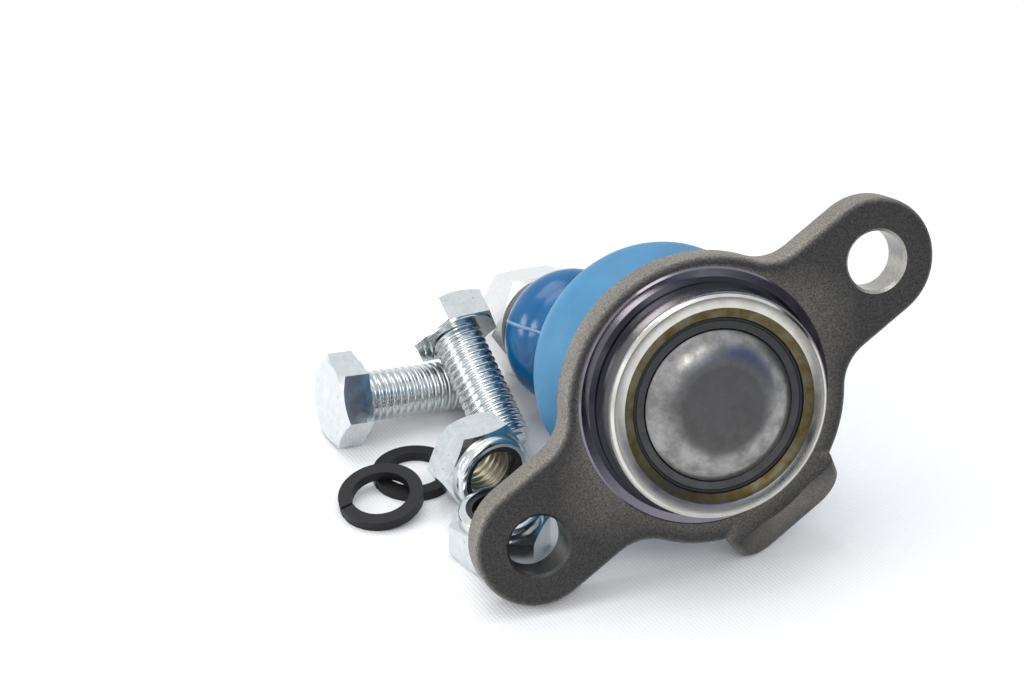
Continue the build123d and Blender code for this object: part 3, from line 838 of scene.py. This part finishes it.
class BALLJOINT_OT_bolts(bpy.types.Operator):
    """Two flange bolts, threaded up to their heads"""

    bl_idname = "balljoint.bolts"
    bl_label = "Flange bolts"

    def execute(self, context):
        settings = look()
        heads = without_shanks(
            "bolt_heads", "flange_bolts", "zinc", BOLTS, -BOLT_FACE - 0.05, BOLT_RADIUS + 0.1
        )
        parts = [heads]
        for i, place in enumerate(BOLTS):
            start = place @ Matrix.Translation((0, 0, -BOLT_LENGTH * MM))
            parts.append(threaded(
                f"bolt_thread_{i}", BOLT_RADIUS, BOLT_RADIUS - settings.thread_depth / MM, 0,
                settings.thread_pitch / MM, BOLT_LENGTH - BOLT_FACE + 0.05, BOLT_CHAMFER,
                "zinc", start, 64,
            ))
        bolts = joined("zinc_flange_bolts", parts)
        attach(bolts, "housing_body")
        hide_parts("flange_bolts")
        return {"FINISHED"}


class BALLJOINT_OT_nuts(bpy.types.Operator):
    """Two locking nuts with their threads and plastic rings"""

    bl_idname = "balljoint.nuts"
    bl_label = "Locking nuts"

    def execute(self, context):
        settings = look()
        parts = [merged_copy("nut_bodies", "flange_nuts", ("zinc",), 24)]
        for i, place in enumerate(NUTS):
            start = place @ Matrix.Translation((0, 0, 0.1 * MM))
            parts.append(threaded(
                f"nut_thread_{i}", BOLT_RADIUS - 0.04, BOLT_RADIUS - 0.72, BOLT_RADIUS + 0.03,
                settings.thread_pitch / MM, NUT_THREAD, 0, "thread", start, 64,
            ))
        nuts = joined("zinc_locking_nuts", parts)
        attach(nuts, "housing_body")
        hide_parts("flange_nuts")
        rings = merged_copy("nylon_lock_rings", "nut_inserts", ("nylon",), 40)
        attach(rings, "housing_body")
        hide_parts("nut_inserts")
        return {"FINISHED"}


class BALLJOINT_OT_washers(bpy.types.Operator):
    """Two split lock washers, one leaning on the other"""

    bl_idname = "balljoint.washers"
    bl_label = "Lock washers"

    def execute(self, context):
        washers = merged_copy("split_lock_washers", "lock_washers", ("oxide",), 40)
        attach(washers, "housing_body")
        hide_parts("lock_washers")
        return {"FINISHED"}


# ---- stage ------------------------------------------------------------------------------
WEAVE_STEP = 0.9  # millimetres
CLOTH_REACH = 3.0  # metres from the joint to the cloth's edge
CAMERA_AT = Vector((-0.1331, -0.3217, 0.2206))
CAMERA_LOOK = Vector((0.241, 0.8212, -0.5173))
CAMERA_LENS = 69.68


def woven_cloth():
    """White woven cloth: threads 0.9 mm apart, drawn coarser than cotton so that they show."""
    m = Finish("white_woven_cloth", Roughness=0.9, Specular_IOR_Level=0.1)
    parts = m.node("ShaderNodeSeparateXYZ", {"Vector": m.where}).outputs
    step = math.tau / (WEAVE_STEP * MM)
    warp = m.maths("SINE", m.maths("MULTIPLY", m.maths("ADD", parts["X"], m.maths(
        "MULTIPLY", parts["Y"], 0.25)), step))
    weft = m.maths("SINE", m.maths("MULTIPLY", m.maths("SUBTRACT", parts["Y"], m.maths(
        "MULTIPLY", parts["X"], 0.25)), step))
    weave = m.maths("MULTIPLY", m.maths("ADD", m.maths("ADD", warp, weft), 2.0), 0.25)
    tone = look().cloth
    return m.set(Base_Color=m.mix(weave, scaled(tone, 0.95), tone), Normal=m.bump(weave, 0.06))


def sheet(name, width, height, material):
    """A flat rectangle about its middle."""
    mesh = bpy.data.meshes.new(name)
    w, h = width / 2, height / 2
    mesh.from_pydata([(-w, -h, 0), (w, -h, 0), (w, h, 0), (-w, h, 0)], [], [(0, 1, 2, 3)])
    mesh.materials.append(material)
    return link(name, mesh)


def lamp(name, at, power, size, tint=(1, 1, 1)):
    """A soft square lamp aimed at the joint."""
    data = bpy.data.lights.new(name, "AREA")
    data.energy, data.size, data.color = power, size, tint
    light = bpy.data.objects.new(name, data)
    bpy.context.scene.collection.objects.link(light)
    light.location = at
    light.rotation_euler = (-Vector(at)).to_track_quat("-Z", "Y").to_euler()
    return light


def card(name, at, size, tone):
    """A card that only shows in reflections."""
    material = bpy.data.materials.new(name)
    material.use_nodes = True
    shader = material.node_tree.nodes["Principled BSDF"]
    shader.inputs["Base Color"].default_value = linear(tone)
    shader.inputs["Roughness"].default_value = 1.0
    shader.inputs["Specular IOR Level"].default_value = 0.0
    piece = sheet(name, *size, material)
    piece.location = at
    piece.rotation_euler = (-Vector(at)).to_track_quat("Z", "Y").to_euler()
    piece.visible_camera = False
    piece.visible_shadow = False
    piece.visible_diffuse = False
    return piece


class BALLJOINT_OT_stage(bpy.types.Operator):
    """White cloth, soft lamps, dark cards for the reflections and the camera"""

    bl_idname = "balljoint.stage"
    bl_label = "Stage"

    def execute(self, context):
        scene = bpy.context.scene
        scene.view_settings.view_transform = "Standard"
        floor = sheet("cloth", 2 * CLOTH_REACH, 2 * CLOTH_REACH, woven_cloth())
        floor.location = (0, 0, FLOOR)
        world = bpy.data.worlds.new("studio")
        scene.world = world
        world.use_nodes = True
        tree = world.node_tree
        back = tree.nodes["Background"]
        back.inputs["Color"].default_value = (0.93, 0.96, 1.0, 1)
        back.inputs["Strength"].default_value = 0.95
        white = tree.nodes.new("ShaderNodeBackground")
        white.inputs["Strength"].default_value = 1.0
        white.inputs["Color"].default_value = (1, 1, 1, 1)
        seen = tree.nodes.new("ShaderNodeLightPath")
        mix = tree.nodes.new("ShaderNodeMixShader")
        tree.links.new(seen.outputs["Is Camera Ray"], mix.inputs[0])
        tree.links.new(back.outputs[0], mix.inputs[1])
        tree.links.new(white.outputs[0], mix.inputs[2])
        tree.links.new(mix.outputs[0], tree.nodes["World Output"].inputs["Surface"])
        lights = (
            lamp("top_lamp", (-0.15, 0.25, 0.9), 3.0, 0.6),
            lamp("front_lamp", (-0.1, -0.9, 0.9), 2.4, 0.4, (1, 0.97, 0.93)),
            lamp("left_lamp", (-0.9, 0.0, 0.35), 2.6, 0.35),
        )
        cards = (
            card("black_card", (0.03, -1.15, 0.12), (0.72, 0.3), "#050506"),
            card("grey_card", (0.72, -0.93, 0.12), (0.72, 0.3), "#3e3c46"),
            card("blue_card", (0.8, -1.05, 0.68), (1.1, 0.7), "#04489a"),
            card("dark_card_right", (1.1, 0.1, 0.25), (0.7, 0.5), "#1a1c24"),
        )
        eye = bpy.data.objects.new("camera", bpy.data.cameras.new("camera"))
        scene.collection.objects.link(eye)
        eye.location = CAMERA_AT
        eye.rotation_euler = CAMERA_LOOK.to_track_quat("-Z", "Y").to_euler()
        eye.data.sensor_width = 36
        eye.data.lens = CAMERA_LENS
        eye.data.clip_start = 0.01
        scene.camera = eye
        scene.render.resolution_x, scene.render.resolution_y = 1024, 681
        return {"FINISHED"}


OPERATORS = (
    BALLJOINT_OT_housing, BALLJOINT_OT_cover, BALLJOINT_OT_boot, BALLJOINT_OT_stud,
    BALLJOINT_OT_bolts, BALLJOINT_OT_nuts, BALLJOINT_OT_washers, BALLJOINT_OT_stage,
)


class BALLJOINT_PT_dressing(bpy.types.Panel):
    """Colours, sizes and pieces of the ball joint"""

    bl_label = "Ball joint"
    bl_idname = "BALLJOINT_PT_dressing"
    bl_space_type = "VIEW_3D"
    bl_region_type = "UI"
    bl_category = "Ball Joint"

    def draw(self, context):
        column = self.layout.column()
        for key in JointLook.__annotations__:
            column.prop(context.scene.joint_look, key)
        for operator in OPERATORS:
            column.operator(operator.bl_idname)


CLASSES = (JointLook, *OPERATORS, BALLJOINT_PT_dressing)


def register():
    for item in CLASSES:
        bpy.utils.register_class(item)
    bpy.types.Scene.joint_look = PointerProperty(type=JointLook)


def unregister():
    del bpy.types.Scene.joint_look
    for item in reversed(CLASSES):
        bpy.utils.unregister_class(item)


def main():
    register()
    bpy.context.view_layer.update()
    for operator in OPERATORS:
        group, action = operator.bl_idname.split(".")
        getattr(getattr(bpy.ops, group), action)()


if __name__ == "__main__":
    main()
